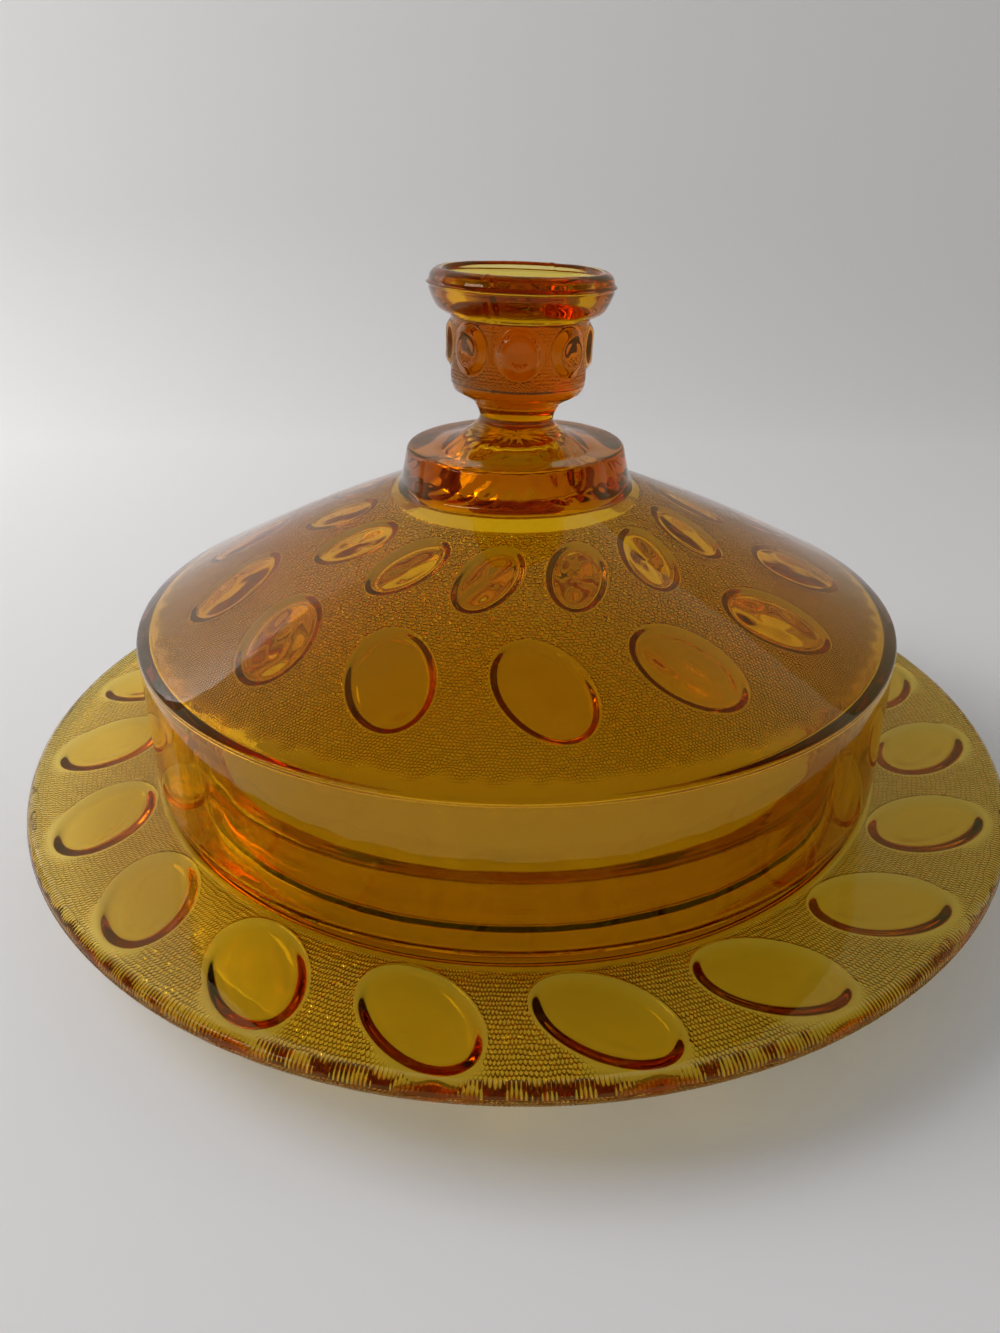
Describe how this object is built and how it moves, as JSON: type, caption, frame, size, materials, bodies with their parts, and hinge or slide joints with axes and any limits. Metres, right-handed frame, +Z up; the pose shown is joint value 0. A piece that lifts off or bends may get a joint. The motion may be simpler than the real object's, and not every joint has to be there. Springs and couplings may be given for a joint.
{
  "type": "covered serving dish",
  "caption": "Round footed glass plate with a raised locating ring and a lift-off conical cover with a cupped knob.",
  "frame": {"origin": "on the table, under the middle of the plate's foot", "axes": "+Z up along the axis of the plate and the cover; -Y is the side that the reference view shows"},
  "size_m": [0.2662, 0.2662, 0.1391],
  "materials": {
    "amber_glass": "fire-polished clear amber, stippled ground between smooth raised ovals"
  },
  "bodies": {
    "plate": {"base_plate": "amber_glass"},
    "cover": {"lid": "amber_glass"}
  },
  "joints": [
    {"name": "lid_lift", "type": "slide", "parent": "plate", "child": "cover", "axis": [0, 0, 1], "range_m": [0, 0.12]}
  ]
}
